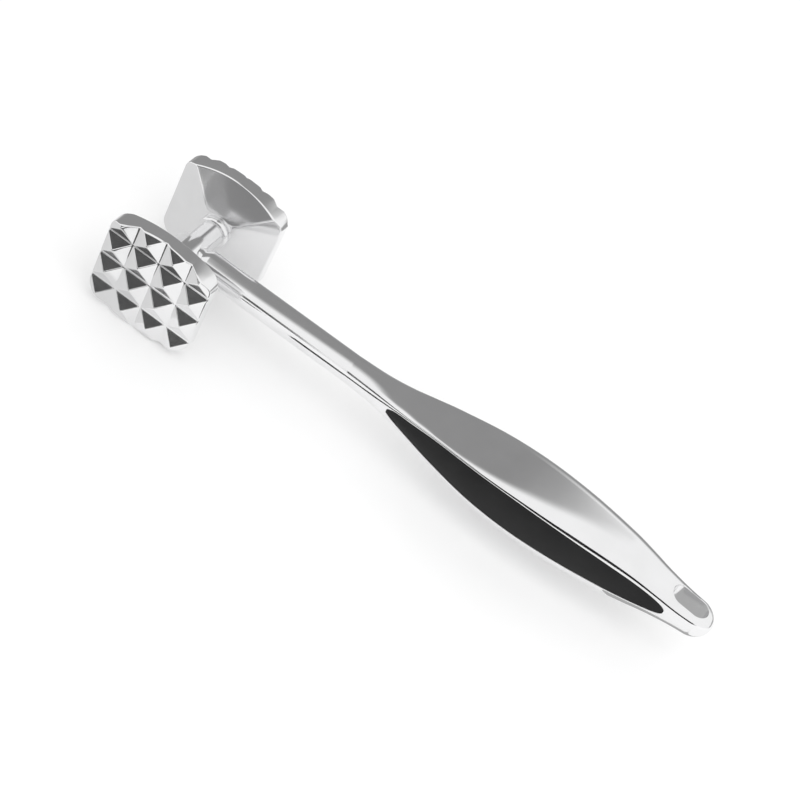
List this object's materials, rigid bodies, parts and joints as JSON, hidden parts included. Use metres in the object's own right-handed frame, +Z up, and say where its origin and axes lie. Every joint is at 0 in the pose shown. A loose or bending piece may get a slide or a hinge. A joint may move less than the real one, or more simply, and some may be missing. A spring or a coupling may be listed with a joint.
{
  "type": "meat mallet",
  "caption": "Meat mallet with a coarse and a fine pyramid-toothed head on a cross barrel, a round stem, and a cast grip with soft side inlays and a hanging slot.",
  "frame": {"origin": "on the ground under the middle of the bounding box, with the mallet lying on its side", "axes": "+X along the handle from the head to the tail, -Y out of the coarse face and +Y out of the fine face, +Z up along the hanging slot"},
  "size_m": [0.249, 0.0566, 0.043],
  "materials": {
    "satin_chrome": "satin chrome plating on cast zinc",
    "bright_chrome": "bright chrome plating on zinc",
    "plain_steel": "plain turned steel, hidden inside",
    "soft_grip": "matte thermoplastic rubber",
    "carrier_plastic": "moulded, hidden inside"
  },
  "bodies": {
    "root": {"coarse_head": "satin_chrome", "fine_head": "satin_chrome", "coarse_collar": "bright_chrome", "fine_collar": "bright_chrome", "neck_barrel": "satin_chrome", "tie_stud": "plain_steel", "stem_stud": "plain_steel", "handle_casting": "satin_chrome", "coarse_side_carrier": "carrier_plastic", "fine_side_carrier": "carrier_plastic", "coarse_side_inlay": "soft_grip", "fine_side_inlay": "soft_grip", "carrier_pins": "plain_steel"}
  },
  "joints": []
}
